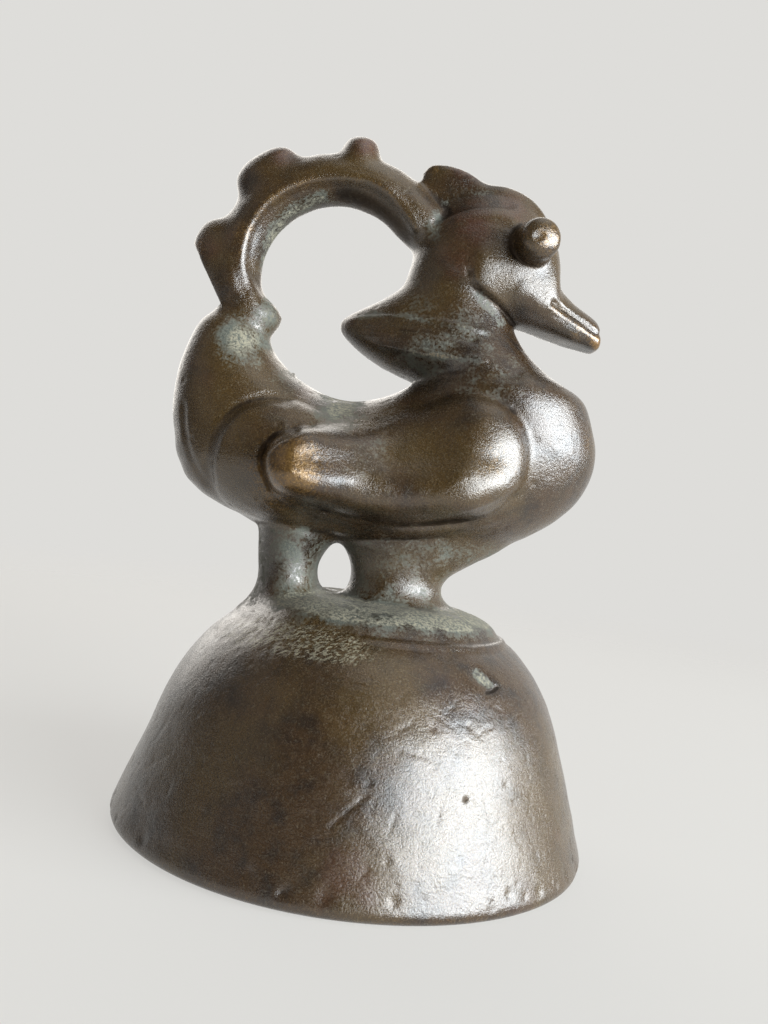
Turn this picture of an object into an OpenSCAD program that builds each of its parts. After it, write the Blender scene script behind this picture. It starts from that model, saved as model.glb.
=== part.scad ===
// Bird-shaped balance weight: a domed base, a plinth, two legs and a duck-like bird under a ring handle.
// Millimetres. The bird looks along +X, +Z is up, and the origin is the middle of the base's underside.

/* [Base] */
// Diameter of the dome at its rim
base_d = 46; // [42:0.5:54]
// Height of the dome, up to the plinth
base_h = 20.2; // [17:0.2:26]
// Height of the straight lower side
side_h = 11; // [8:0.2:13]
// Diameter where the straight side ends
side_d = 39.4; // [36:0.2:41]
// Height that the side's line would reach at the shoulder
shoulder_h = 17.6; // [15:0.2:19]
// Diameter of the dome's flat top
dome_top_d = 26.6; // [26:0.2:30]
// Rounding of the rim
rim_round = 0.9; // [0.4:0.1:1.6]

/* [Plinth] */
// Diameter of the plinth
plinth_d = 25.2; // [24:0.2:26]
// Height of the plinth
plinth_h = 2.6; // [2:0.2:5]
// Width of the plinth's sloping edge
plinth_edge = 5.6; // [3:0.1:6]

/* [Legs] */
// Height from the plinth to the lowest point of the belly
leg_h = 5.4; // [4:0.2:8]
// Width of both legs across the bird
leg_w = 8.6; // [6:0.2:10]
// Length of the rear leg at its waist
rear_leg_l = 5.4; // [4:0.2:6.4]
// Length of the front leg at its waist
front_leg_l = 8.2; // [6:0.2:9]
// Width of the window between the legs
window_l = 3.6; // [3:0.1:5]
// Place of the window's middle along the bird
window_x = -4.5; // [-6:0.1:-2]
// How far each leg spreads across the bird and at the window's floor
leg_flare = 0.9; // [0.4:0.1:1.2]
// How far each leg spreads into the window under the belly
window_flare = 1.6; // [0.8:0.1:1.7]
// How far the legs' feet spread away from the window
foot_flare = 2.3; // [0.6:0.1:2.6]
// How far the front leg sweeps forward into the belly
hip_flare = 7.6; // [2:0.1:9]

/* [Body] */
// Length from the tail to the breast
body_l = 42.4; // [38:0.2:45]
// Height of the body's outline
body_h = 22.8; // [20:0.2:26]
// Width of the body without the wings
body_w = 17.2; // [14:0.2:20]
// Width where the tail begins
rump_w = 12; // [9:0.2:15]
// Place of the body's middle along the base
body_x = -1.4; // [-2.5:0.1:0.5]
// Height of the back above the belly
back_h = 13.9; // [12.5:0.1:15]
// Place of the lowest point of the back
saddle_x = -5.5; // [-7:0.1:-4]
// Length of the back, from the tail to the neck
back_l = 11; // [9:0.2:12.5]
// How far the back rises at both its ends
saddle_rise = 1.8; // [1:0.1:2.6]

/* [Tail] */
// Height of the tail above the body's middle
tail_rise = 9.8; // [7:0.2:12]
// How far the tail's tip leans in
tail_lean = 3.4; // [2:0.1:5]
// Length of the tail's upper end
tail_end_l = 5.4; // [4.8:0.1:7]
// Width of the tail's upper end
tail_end_w = 5.4; // [4.4:0.1:7]

/* [Neck and head] */
// Height of the head's middle above the back
neck_h = 14.9; // [13.5:0.1:17]
// Place of the head's middle along the base
head_x = 6.6; // [5:0.1:7.5]
// Diameter of the head, seen from the side
head_d = 14.6; // [13.4:0.1:16]
// Width of the head
head_w = 10; // [8.6:0.1:12]
// Width of the neck under the jaw
neck_w = 9.2; // [8:0.1:11]
// How far the nape is hollowed
nape_bow = 3.2; // [1.5:0.1:4]
// Place of the throat in front of the head's middle
throat_x = 3.1; // [2:0.1:4]
// Drop of the throat below the head's middle
throat_drop = 5; // [3.5:0.1:5.4]
// How far the nape tuft stands back from the neck
tuft_l = 6.4; // [4:0.1:7]
// Height of the nape tuft at its root
tuft_h = 11.4; // [9:0.2:12]

/* [Bill] */
// Length of the bill
bill_l = 4.7; // [4:0.1:8]
// Width of the bill at its root
bill_w = 6.4; // [5.4:0.1:8]
// Drop of the bill's underside below the head's middle
chin_drop = 6.1; // [5.6:0.1:7]
// Drop of the bill's tip below the chin
bill_dip = 0.7; // [0:0.1:1.2]

/* [Eyes and crest] */
// Diameter of an eye
eye_d = 4; // [3:0.1:5]
// How far an eye stands out of the head
eye_out = 3.7; // [2.6:0.1:6]
// Depth of the seat that an eye sits in
eye_seat = 1.2; // [0.8:0.1:1.6]
// Place of the eye in front of the head's middle
eye_x = 3.5; // [3:0.1:4.4]
// Height of the eye above the head's middle
eye_z = 1.9; // [0:0.1:2.4]
// Turn of the eye towards the bill
eye_turn = 11; // [0:1:24]
// Height of the eye's rounded end
eye_round = 1.5; // [0.8:0.1:2.4]
// Thickness of the crest
crest_t = 3; // [2:0.1:4]
// Height of the crest over the forehead
crest_h = 1; // [0.6:0.1:1.8]
// Height of the crest's rear knob
crest_knob = 5.6; // [3:0.1:6.4]

/* [Handle] */
// Thickness of the ring handle
handle_t = 5.2; // [4.4:0.1:5.8]
// Width of the ring handle across the bird
handle_w = 6; // [4.8:0.1:6.6]
// Rise of the arch above the line between its ends
handle_rise = 6.8; // [6:0.1:8]
// Height of the arch's foot above the tail
foot_h = 2.4; // [2:0.1:3.4]
// How far the foot's toe reaches into the ring
toe_l = 1.6; // [0.8:0.1:2.2]
// Length of the stem between the arch and the head
root_l = 3.4; // [2.6:0.1:4.4]
// Height of the knobs on the arch
knob_h = 2.1; // [1:0.1:3]
// Length of the knob near the head
front_knob_l = 4; // [3:0.1:5]
// Length of the middle knob
middle_knob_l = 7.6; // [5:0.1:8]
// Length of the spur near the tail
rear_knob_l = 8.6; // [6:0.1:9]

/* [Wings] */
// Length of a wing
wing_l = 24.4; // [20:0.2:25]
// Diameter of the wing's rear end
wing_rear_d = 6.4; // [5:0.1:7.4]
// Diameter of the wing's front end
wing_front_d = 11.8; // [9:0.1:12.4]
// How far the wing's front end stands out of the body
wing_t = 2.9; // [1.4:0.1:3.6]
// How far the wing's rear end stands out of the body
wing_rear_t = 5; // [2.2:0.1:6.4]
// How far the wing's middle stands out of the body
wing_mid_t = 2; // [1.2:0.1:3.4]
// How much further the wing's lower side stands out, as a share of the way below its middle
wing_droop = 0.58; // [0:0.01:0.7]
// Place of the wing's front end along the base
wing_x = 12.3; // [11:0.1:12.8]
// Height of the wing's front end above the belly
wing_z = 9.4; // [8.8:0.1:10]
// Drop of the wing's rear end below its front end
wing_drop = 2.6; // [1.5:0.1:3.4]
// How far the wing's middle sags
wing_sag = 1.1; // [0:0.1:1.5]
// Diameter of the round lobe behind the wing
lobe_d = 12.6; // [11:0.2:14]
// How far the lobe stands out of the rump
lobe_t = 1.6; // [0.6:0.1:2]
// Thickness of the bead under the wing
bead_t = 0.6; // [0.4:0.05:1]
// Width of the bead under the wing
bead_w = 1.1; // [0.8:0.1:1.5]

/* [Hidden] */

bronze = [0.36, 0.29, 0.20];
worn_bronze = [0.55, 0.43, 0.22];
green_bronze = [0.40, 0.42, 0.34];

// Points round a swept form, a leg, a wing and the other pads, and the rings across a pad
sides = 36;
leg_sides = 26;
wing_sides = 48;
pad_sides = 28;
knob_sides = 18;
pad_rings = [0.3, 0.55, 0.75, 0.88, 0.96, 1];
seat_rings = [0.4, 0.75, 1];
left = 1;
right = -1;

// Heights of the storeys
plinth_z = base_h + plinth_h;
belly_z = plinth_z + leg_h;
body_z = belly_z + body_h / 2;
saddle_z = belly_z + back_h;
head_z = saddle_z + neck_h;
chin_z = head_z - chin_drop;

// Fullness of the body's outline towards the tail and towards the breast: 2 is an ellipse
tail_n = 2.7;
breast_n = 2.3;

// Turns of the body's outline at the tail, at the breast and at the neck
tail_turn = 180;
breast_turn = 318;
neck_turn = 385;
// Turns of the head's outline at the nape and at the bill
nape_turn = 174;
bill_turn = -5;

// General functions

function lerp(a, b, k) = a + (b - a) * k;

function bezier(a, b, c, k) = lerp(lerp(a, b, k), lerp(b, c, k), k);

function sgn_pow(v, p) = sign(v) * pow(abs(v), p);

function unit(v) = v / norm(v);

function polar(r, a) = r * [cos(a), sin(a)];

function in_space(p, y) = [p.x, y, p.y];

// Catmull-Rom curve through four values
function through(a, b, c, d, k) =
    0.5 * (2 * b + (c - a) * k + (2 * a - 5 * b + 4 * c - d) * k * k + (3 * b - a - 3 * c + d) * k * k * k);

// Where a rising function crosses zero, by halving
function root_of(f, low, high, steps = 22) =
    steps == 0 ? (low + high) / 2 :
    let (mid = (low + high) / 2)
    f(mid) > 0 ? root_of(f, low, mid, steps - 1) : root_of(f, mid, high, steps - 1);

// Ribs: a closed section that stands across the bird, from an upper or inner point to a lower or outer one.
// wide is where along it the section is widest, and top_n and low_n say how full its two halves are.

function rib(top, low, half_w, wide = 0.5, top_n = 2, low_n = 2) =
    [top.x, top.y, low.x, low.y, half_w, wide, top_n, low_n];

function rib_top(r) = [r[0], r[1]];

function rib_low(r) = [r[2], r[3]];

function rib_point(r, turn) =
    let (
        upper = abs(turn) <= 90,
        n = upper ? r[6] : r[7],
        along = pow(abs(cos(turn)), 2 / n),
        share = upper ? r[5] * (1 - along) : r[5] + (1 - r[5]) * along
    )
    in_space(lerp(rib_top(r), rib_low(r), share), r[4] * sgn_pow(sin(turn), 2 / n));

function rib_ring(r) = [for (i = [0:sides - 1]) rib_point(r, 360 * i / sides - 180)];

// A rib between those of a list: station 0 is the first, 1 the next
function rib_between(ribs, station) =
    let (
        last = len(ribs) - 1,
        i = max(0, min(last - 1, floor(station))),
        k = station - i
    )
    through(ribs[max(0, i - 1)], ribs[i], ribs[i + 1], ribs[min(last, i + 2)], k);

// Half width that a rib has at a share of its length
function rib_half_width(r, share) =
    let (
        upper = share <= r[5],
        n = upper ? r[6] : r[7],
        far = upper ? (r[5] - share) / r[5] : (share - r[5]) / (1 - r[5])
    )
    r[4] * pow(max(0, 1 - pow(min(1, far), n)), 1 / n);

// A point on the upper or the lower edge of a rib, at a distance from the middle plane
function top_edge(r, y) = rib_point(r, sign(y) * asin(pow(min(1, abs(y) / r[4]), r[6] / 2)));

function low_edge(r, y) = rib_point(r, sign(y) * (180 - asin(pow(min(1, abs(y) / r[4]), r[7] / 2))) + (y == 0 ? 180 : 0));

// Solids from rings of points

function mean(points) = [for (p = points) 1] * points / len(points);

// A closed solid through rings with the same number of points, with its ends closed to a point each
module skin(rings, first_pole, last_pole) {
    n = len(rings[0]);
    count = len(rings);
    first = is_undef(first_pole) ? mean(rings[0]) : first_pole;
    last = is_undef(last_pole) ? mean(rings[count - 1]) : last_pole;
    points = concat([for (ring = rings) each ring], [first, last]);
    walls = [for (j = [0:count - 2], i = [0:n - 1], half = [0, 1])
        let (a = j * n + i, b = j * n + (i + 1) % n)
        half == 0 ? [a, b, b + n] : [a, b + n, a + n]];
    ends = [for (i = [0:n - 1], half = [0, 1])
        let (top = (count - 1) * n)
        half == 0 ? [(i + 1) % n, i, n * count] : [top + i, top + (i + 1) % n, n * count + 1]];
    polyhedron(points, concat(walls, ends));
}

// The swept solid between two stations of a list of ribs
module loft(ribs, from, to, steps) {
    skin([for (i = [0:steps]) rib_ring(rib_between(ribs, lerp(from, to, i / steps)))]);
}

function disc_ring(at, rho, count) = [for (i = [0:count - 1]) at(rho, 360 * i / count)];

// A raised pad between an underside, seat(rho, turn), and a face that meets it at rho 1
module pad(seat, face, count, mirrored = false, across = pad_rings) {
    under = [for (i = [0:len(across) - 2]) disc_ring(seat, across[i], count)];
    over = [for (i = [len(across) - 1:-1:0]) disc_ring(face, across[i], count)];
    rings = concat(under, over);
    flipped = [for (ring = rings) [for (i = [count - 1:-1:0]) ring[i]]];
    skin(mirrored ? flipped : rings, seat(0, 0), face(0, 0));
}

// The bird's ribs, from the tail's end round the breast and up the neck to the bill

function outline(turn) =
    let (n = cos(turn) > 0 ? breast_n : tail_n)
    [body_x + body_l / 2 * sgn_pow(cos(turn), 2 / n), body_z + body_h / 2 * sgn_pow(sin(turn), 2 / n)];

function back(turn) =
    let (k = (turn - tail_turn) / 180 - 0.5)
    [saddle_x + back_l * k, saddle_z + saddle_rise * pow(2 * k, 2)];

function body_half_width(turn) =
    let (k = (turn - tail_turn) / (neck_turn - tail_turn))
    lerp(rump_w, body_w, sin(min(90, 200 * k))) / 2 * (1 - 0.1 * pow(k, 4));

function body_rib(turn) =
    rib(back(turn), outline(turn), body_half_width(turn), 0.5, 2, 2 + 0.4 * max(0, cos(turn - tail_turn)));

body_turns = [tail_turn, 210, 240, 262, 284, breast_turn - 16, breast_turn, 340, 360, neck_turn];
body_ribs = [for (t = body_turns) body_rib(t)];
breast_station = 6;
neck_station = 9;

tail_root = body_ribs[0];
tail_tip = [body_x - body_l / 2 + tail_lean, body_z + tail_rise];
tail_end_turn = -22;
function tail_rib(k) =
    let (
        top = bezier(rib_top(tail_root), tail_tip + tail_end_l * [1.07, -0.74], tail_tip + polar(tail_end_l, tail_end_turn), k),
        low = [tail_tip.x - tail_lean * cos(90 * k), body_z + tail_rise * sin(90 * k)]
    )
    rib(top, low, lerp(rump_w, tail_end_w, pow(k, 0.9)) / 2, 0.5, 2, 2.4);
tail_ribs = [for (k = [0, 0.25, 0.5, 0.75, 1]) tail_rib(k)];

// The bill is widest low down, with a rounded top and a crisp lower edge.
bill_wide = 0.68;
bill_top_n = 1.8;
bill_low_n = 3.4;
head_mid = [head_x, head_z];
throat = head_mid + [throat_x, -throat_drop];
chin = [head_x + head_d / 2 * cos(bill_turn), chin_z];
function head_rib(k) =
    let (turn = lerp(nape_turn, bill_turn, k))
    rib(
        head_mid + polar(head_d / 2, turn), lerp(throat, chin, pow(k, 1.5)),
        lerp(head_w, bill_w, pow(k, 2)) / 2, lerp(0.5, bill_wide, k * k), lerp(2, bill_top_n, k), lerp(2, bill_low_n, k)
    );
head_ribs = [for (k = [0, 0.16, 0.32, 0.48, 0.64, 0.8, 0.92, 1]) head_rib(k)];

neck_root = body_ribs[neck_station];
function neck_rib(k) =
    let (
        nape = head_mid + polar(head_d / 2, nape_turn),
        hollow = (rib_top(neck_root) + nape) / 2 - nape_bow * [1, 0.47]
    )
    rib(
        bezier(rib_top(neck_root), hollow, nape, k),
        bezier(rib_low(neck_root), throat + throat_drop * [0.37, -0.84], throat, k),
        lerp(neck_w / 2, neck_root[4], pow(1 - k, 1.6))
    );
neck_ribs = [for (k = [0, 0.2, 0.4, 0.6, 0.8, 1]) neck_rib(k)];

// The bill's stations, as shares of its length, height and width
bill_shape = [[0, 1, 1], [0.3, 0.76, 0.91], [0.7, 0.55, 0.74], [0.92, 0.42, 0.61], [1, 0.3, 0.46]];
bill_root_top = head_mid + polar(head_d / 2, bill_turn);
bill_ribs = [for (s = bill_shape)
    rib(
        [bill_root_top.x + bill_l * s[0], chin_z + (bill_root_top.y - chin_z) * s[1]],
        [chin.x + bill_l * s[0], chin_z - bill_dip * s[0]], bill_w / 2 * s[2], bill_wide, bill_top_n, bill_low_n
    )];

// Half width of a form at a point of the side view
function flank(ribs, p) =
    let (
        station = root_of(
            function (s) let (r = rib_between(ribs, s)) cross(rib_low(r) - rib_top(r), p - rib_top(r)) * -1,
            0, len(ribs) - 1),
        r = rib_between(ribs, station),
        span = rib_low(r) - rib_top(r)
    )
    rib_half_width(r, (p - rib_top(r)) * span / (span * span));

// A point of the belly over a place on the plinth
function belly(p) =
    let (station = root_of(function (s) low_edge(rib_between(body_ribs, s), p.y).x - p.x, 0, neck_station))
    low_edge(rib_between(body_ribs, station), p.y);

// The handle's arch: the circle through its two ends that has the given rise

arch_foot = tail_tip + polar(tail_end_l / 2, tail_end_turn) + foot_h * [-0.42, 1];
arch_root = head_mid + polar(head_d / 2, 148) + root_l * unit([-2, 1]);
arch_chord = arch_root - arch_foot;
arch_r = (arch_chord * arch_chord / 4 + handle_rise * handle_rise) / (2 * handle_rise);
arch_mid = (arch_foot + arch_root) / 2 + (handle_rise - arch_r) * unit([-arch_chord.y, arch_chord.x]);
function arch_turn(p) = atan2(p.y - arch_mid.y, p.x - arch_mid.x);
arch_from = arch_turn(arch_root);
arch_to = arch_turn(arch_foot) + (arch_turn(arch_foot) < arch_from ? 360 : 0);
// Fullness of the arch's section: 2 is an ellipse
arch_n = 1.55;
function arch_section(around) = [
    handle_t / 2 * sgn_pow(cos(around), 2 / arch_n),
    handle_w / 2 * sgn_pow(sin(around), 2 / arch_n)
];
function arch_point(turn, around) =
    let (p = arch_section(around))
    in_space(arch_mid + polar(arch_r + p.x, turn), p.y);
function arch_ring(turn) = [for (i = [0:sides - 1]) arch_point(turn, 180 - 360 * i / sides)];

// Base and legs

function arc(middle, r, from, to, steps) =
    [for (i = [0:steps]) middle + polar(r, lerp(from, to, i / steps))];

module base_dome() {
    side_low = [base_d / 2, rim_round];
    side_top = [side_d / 2, side_h];
    shoulder = side_low + (side_top - side_low) * (shoulder_h - rim_round) / (side_h - rim_round);
    color(bronze)
    rotate_extrude($fn = 96)
    polygon(concat(
        [[0, 0]],
        arc(side_low - [rim_round, 0], rim_round, -90, 0, 6),
        [for (k = [0:1 / 12:1]) bezier(side_top, shoulder, [dome_top_d / 2, base_h], k)],
        [[0, base_h]]
    ));
}

module plinth() {
    color(green_bronze)
    translate([0, 0, base_h])
    rotate_extrude($fn = 96)
    polygon(concat(
        [[0, 0], [plinth_d / 2, 0]],
        [for (a = [10:10:90]) [plinth_d / 2 - plinth_edge * (1 - cos(a)), plinth_h * sin(a)]],
        [[0, plinth_h]]
    ));
}

// Height of the plinth's top under a point of a leg
function plinth_top(p) =
    let (over = max(0, min(1, (norm(p) - plinth_d / 2) / plinth_edge + 1)))
    base_h + plinth_h * sqrt(1 - over * over);

// A leg: ahead is 1 where its outer side looks forward and -1 where it looks back
module leg(mid_x, length, ahead, hip_out) {
    section = function (rho, turn, wide, inner, outer)
        [
            mid_x + rho * (length / 2 + (cos(turn) * ahead > 0 ? outer : inner)) * cos(turn),
            rho * (leg_w / 2 + wide) * sin(turn)
        ];
    foot = function (rho, turn)
        let (p = section(rho, turn, leg_flare, leg_flare, foot_flare))
        [p.x, p.y, plinth_top(p)];
    hip = function (rho, turn) belly(section(rho, turn, leg_flare, window_flare, hip_out));
    // Between them it spreads by a share of the foot's or the hip's flare, and its outer side sweeps up to the hip.
    shank = function (turn, k, share, sweep)
        let (
            inner = (k < 0.5 ? leg_flare : window_flare) * share,
            outer = (k < 0.5 ? foot_flare * share : 0) + hip_out * sweep,
            p = section(1, turn, leg_flare * share, inner, outer)
        )
        [p.x, p.y, lerp(foot(1, turn).z, hip(1, turn).z, k)];
    stations = [
        [0.88, 0.68, 0.85], [0.74, 0.36, 0.66], [0.6, 0.12, 0.45], [0.44, 0, 0.22], [0.28, 0.12, 0.06], [0.12, 0.48, 0]
    ];
    shanks = [for (s = stations)
        [for (i = [0:leg_sides - 1]) shank(360 * i / leg_sides, s[0], s[1], s[2])]];
    color(green_bronze)
    skin(
        concat(
            [for (rho = seat_rings) disc_ring(hip, rho, leg_sides)],
            shanks,
            [for (i = [len(seat_rings) - 1:-1:0]) disc_ring(foot, seat_rings[i], leg_sides)]
        ),
        hip(0, 0), foot(0, 0)
    );
}

module rear_leg() leg(window_x - window_l / 2 - rear_leg_l / 2, rear_leg_l, -1, leg_flare);

module front_leg() leg(window_x + window_l / 2 + front_leg_l / 2, front_leg_l, 1, hip_flare);

// Trunk, neck and head

module body() {
    color(bronze) loft(body_ribs, 0, breast_station, 17);
}

module breast() {
    color(bronze) loft(body_ribs, breast_station, neck_station, 11);
}

module tail() {
    color(green_bronze) loft(tail_ribs, len(tail_ribs) - 1, 0, 10);
}

module neck() {
    color(bronze) loft(neck_ribs, 0, len(neck_ribs) - 1, 11);
}

module head() {
    color(bronze)
    difference() {
        loft(head_ribs, 0, len(head_ribs) - 1, 18);
        for (side = [left, right]) at_eye(side) cylinder(h = eye_out + eye_seat, d = eye_d, $fn = 48);
    }
}

module bill() {
    color(worn_bronze) loft(bill_ribs, 0, len(bill_ribs) - 1, 8);
}

// The bottom of an eye's seat, with +Z out of the head
module at_eye(side) {
    place = head_mid + [eye_x, eye_z];
    translate(in_space(place, side * (flank(head_ribs, place) - eye_seat)))
    rotate([-90 * side, 0, 0]) rotate([0, eye_turn, 0])
    children();
}

module eye(side) {
    end_n = 2.5;
    end_z = eye_seat + eye_out - eye_round;
    color(worn_bronze)
    at_eye(side)
    rotate_extrude($fn = 48)
    polygon(concat(
        [[0, 0], [eye_d / 2, 0]],
        [for (a = [0:9:90]) [eye_d / 2 * pow(cos(a), 2 / end_n), end_z + eye_round * pow(sin(a), 2 / end_n)]]
    ));
}

module crest() {
    back_station = 0.95;
    front_station = 4.9;
    seat = function (rho, turn)
        top_edge(
            rib_between(head_ribs, lerp(back_station, front_station, (1 - rho * cos(turn)) / 2)),
            -rho * sin(turn) * crest_t / 2);
    face = function (rho, turn)
        let (k = (1 - rho * cos(turn)) / 2, knob = pow(max(0, 1 - k / 0.4), 0.7))
        seat(rho, turn) + sqrt(1 - pow(rho, 8)) * lerp(crest_h, crest_knob, knob) * [-0.58 * knob, 0, 1];
    color(bronze) pad(seat, face, pad_sides, true);
}

module nape_tuft() {
    tuft_station = 2.02;
    reach = 82;
    last = len(neck_ribs) - 1;
    half = min(tuft_station, tuft_h / norm(rib_top(neck_ribs[last]) - rib_top(neck_ribs[0])) * last / 2);
    seat = function (rho, turn)
        rib_point(rib_between(neck_ribs, tuft_station + half * rho * sin(turn)), -reach * rho * cos(turn));
    // Its underside is straight, its top is hollow and its tip is blunt.
    blunt = 0.16;
    soft = function (rho) (norm([rho, blunt]) - blunt) / (norm([1, blunt]) - blunt);
    face = function (rho, turn)
        let (hollow = lerp(0.62, 1.7, (1 + sin(turn)) / 2))
        seat(rho, turn) + tuft_l * pow(1 - pow(soft(rho), 1.15), hollow) * [-1, 0, 0];
    color(bronze) pad(seat, face, pad_sides, true, [0.1, 0.22, 0.38, 0.56, 0.76, 0.9, 1]);
}

// Wings, rump lobes and flank beads, laid on the flank

wing_rear = [wing_x - wing_l + wing_rear_d / 2, belly_z + wing_z - wing_drop];
wing_front = [wing_x - wing_front_d / 2, belly_z + wing_z];
wing_mid = lerp(wing_rear, wing_front, 0.55);

// How far a wing reaches from its middle: the outline of a disc swept along a sagging line
function wing_reach(turn) =
    max([for (k = [0:0.1:1])
        let (
            r = lerp(wing_rear_d, wing_front_d, k) / 2,
            c = lerp(wing_rear, wing_front, k) - [0, wing_sag * sin(180 * k)] - wing_mid,
            ahead = c * polar(1, turn),
            inside = r * r - c * c + ahead * ahead
        )
        inside < 0 ? 0 : ahead + sqrt(inside)]);

lobe_mid = wing_rear + wing_rear_d * [-0.34, -0.04];
function lobe_lift(p) = lobe_t * sqrt(max(0, 1 - pow(norm(p - lobe_mid) / (lobe_d / 2), 2)));

trunk_ribs = concat([for (i = [len(tail_ribs) - 1:-1:1]) tail_ribs[i]], body_ribs);
function on_flank(side, p, lifted = 0) = in_space(p, side * (flank(trunk_ribs, p) + lifted));

module wing(side) {
    place = function (rho, turn) wing_mid + polar(rho * wing_reach(turn), turn);
    seat = function (rho, turn) let (p = place(rho, turn)) on_flank(side, p, lobe_lift(p));
    // The upper edge runs out gently into the back, and the rest of the edge is steep.
    face = function (rho, turn)
        let (
            p = place(rho, turn),
            k = max(0, min(1, (p.x - wing_rear.x) / (wing_front.x - wing_rear.x))),
            below = max(0, lerp(wing_rear.y, wing_front.y, k) - p.y),
            ends = wing_rear_t * (1 - k) * (1 - 2 * k) + wing_t * k * (2 * k - 1),
            thick = ends + wing_mid_t * 4 * k * (1 - k) + wing_droop * below,
            upper = pow(max(0, cos(turn - 112)), 2),
            full = pow(1 - pow(rho, lerp(4.4, 2.6, upper)), lerp(0.5, 0.66, upper))
        )
        on_flank(side, p, lobe_lift(place(1, turn)) * rho * rho + thick * full);
    color(bronze) pad(seat, face, wing_sides, side == right);
}

module rump_lobe(side) {
    place = function (rho, turn) lobe_mid + polar(rho * lobe_d / 2, turn);
    seat = function (rho, turn) on_flank(side, place(rho, turn));
    face = function (rho, turn) on_flank(side, place(rho, turn), lobe_t * sqrt(1 - rho * rho));
    color(bronze) pad(seat, face, pad_sides, side == right);
}

module flank_bead(side) {
    bead_from = 205;
    bead_to = 352;
    bead_gap = 0.23 * bead_w;
    seat = function (rho, turn)
        let (
            along = lerp(bead_from, bead_to, (1 + rho * cos(turn)) / 2),
            out = wing_reach(along) + bead_gap + bead_w / 2 - rho * sin(turn) * bead_w / 2
        )
        on_flank(side, wing_mid + polar(out, along));
    face = function (rho, turn) seat(rho, turn) + [0, side * bead_t * sqrt(1 - rho * rho), 0];
    color(green_bronze) pad(seat, face, pad_sides, side == right);
}

// Handle

module handle_arch() {
    color(bronze)
    translate(in_space(arch_mid, 0))
    rotate([90, 0, 0])
    rotate_extrude(angle = arch_to - arch_from, start = arch_from, $fn = 96)
    translate([arch_r, 0])
    polygon([for (i = [0:sides - 1]) arch_section(360 * i / sides)]);
}

module handle_foot() {
    end = tail_ribs[len(tail_ribs) - 1];
    arch_in = arch_mid + polar(arch_r - handle_t / 2, arch_to);
    arch_out = arch_mid + polar(arch_r + handle_t / 2, arch_to);
    toe = rib((arch_in + rib_top(end)) / 2 + [toe_l, 0], (arch_out + rib_low(end)) / 2, tail_end_w / 2, 0.5, 2, end[7]);
    ribs = [rib(arch_in, arch_out, handle_w / 2, 0.5, arch_n, arch_n), toe, end];
    color(green_bronze) loft(ribs, 0, 2, 6);
}

module handle_root() {
    root_station = 0.72;
    seat = function (rho, turn)
        top_edge(rib_between(head_ribs, root_station - 0.7 * rho * cos(turn)), rho * sin(turn) * handle_w / 2);
    end = arch_ring(arch_from);
    foot = disc_ring(seat, 1, sides);
    color(bronze)
    skin(
        concat(
            [for (rho = seat_rings) disc_ring(seat, rho, sides)],
            [for (k = [0.35, 0.7]) [for (i = [0:sides - 1]) lerp(foot[i], end[i], k)]],
            [end]
        ),
        seat(0, 0)
    );
}

// A knob on the arch, at a share of the way from the head to the tail. It leans along the arch by a share of its
// height, towards the head where lean is above 0, and n says how full it is.
module knob(share, length, high, lean, n) {
    half_turn = length / (arch_r + handle_t / 2) * 90 / PI;
    turn = lerp(arch_from, arch_to, share);
    width = 66;
    way = polar(1, turn) + lean * polar(1, turn - 90);
    seat = function (rho, a) arch_point(turn + rho * cos(a) * half_turn, rho * sin(a) * width);
    face = function (rho, a) seat(rho, a) + in_space(high * pow(1 - pow(rho, n), 1 / n) * way, 0);
    color(worn_bronze) pad(seat, face, knob_sides);
}

module front_knob() knob(0.21, front_knob_l, 0.9 * knob_h, 0, 2.4);

module middle_knob() knob(0.52, middle_knob_l, knob_h, 0, 2.8);

module rear_knob() knob(0.85, rear_knob_l, 0.95 * knob_h, 0.6, 1.6);

base_dome();
plinth();
rear_leg();
front_leg();
body();
breast();
tail();
neck();
nape_tuft();
head();
bill();
crest();
eye(left);  // left_eye
eye(right);  // right_eye
wing(left);  // left_wing
wing(right);  // right_wing
rump_lobe(left);  // left_rump_lobe
rump_lobe(right);  // right_rump_lobe
flank_bead(left);  // left_flank_bead
flank_bead(right);  // right_flank_bead
handle_foot();
handle_arch();
handle_root();
front_knob();
middle_knob();
rear_knob();
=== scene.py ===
import math

import bmesh
import bpy
import numpy as np
from mathutils import Matrix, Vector
from mathutils.bvhtree import BVHTree


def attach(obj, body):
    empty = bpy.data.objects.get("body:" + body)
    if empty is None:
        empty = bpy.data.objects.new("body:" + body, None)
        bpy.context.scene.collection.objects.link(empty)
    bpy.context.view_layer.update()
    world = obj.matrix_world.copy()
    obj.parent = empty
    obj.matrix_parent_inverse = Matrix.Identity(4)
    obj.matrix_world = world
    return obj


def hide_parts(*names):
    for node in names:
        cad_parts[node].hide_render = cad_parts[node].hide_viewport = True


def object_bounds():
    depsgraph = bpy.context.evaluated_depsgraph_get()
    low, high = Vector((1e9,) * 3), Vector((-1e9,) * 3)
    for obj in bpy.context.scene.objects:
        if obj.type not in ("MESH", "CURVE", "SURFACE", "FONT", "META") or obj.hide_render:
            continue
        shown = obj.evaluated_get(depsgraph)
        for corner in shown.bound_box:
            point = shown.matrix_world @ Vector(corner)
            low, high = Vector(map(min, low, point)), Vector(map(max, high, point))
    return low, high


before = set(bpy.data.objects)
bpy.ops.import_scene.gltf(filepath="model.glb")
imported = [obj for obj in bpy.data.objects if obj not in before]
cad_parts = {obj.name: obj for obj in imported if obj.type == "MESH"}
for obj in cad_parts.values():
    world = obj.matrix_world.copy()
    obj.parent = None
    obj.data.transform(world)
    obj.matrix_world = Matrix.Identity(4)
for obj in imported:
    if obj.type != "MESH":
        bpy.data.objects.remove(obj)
cadLow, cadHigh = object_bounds()
nodeNames = sorted(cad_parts)
perMetre = 1000.0  # the skin is worked in millimetres
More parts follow.
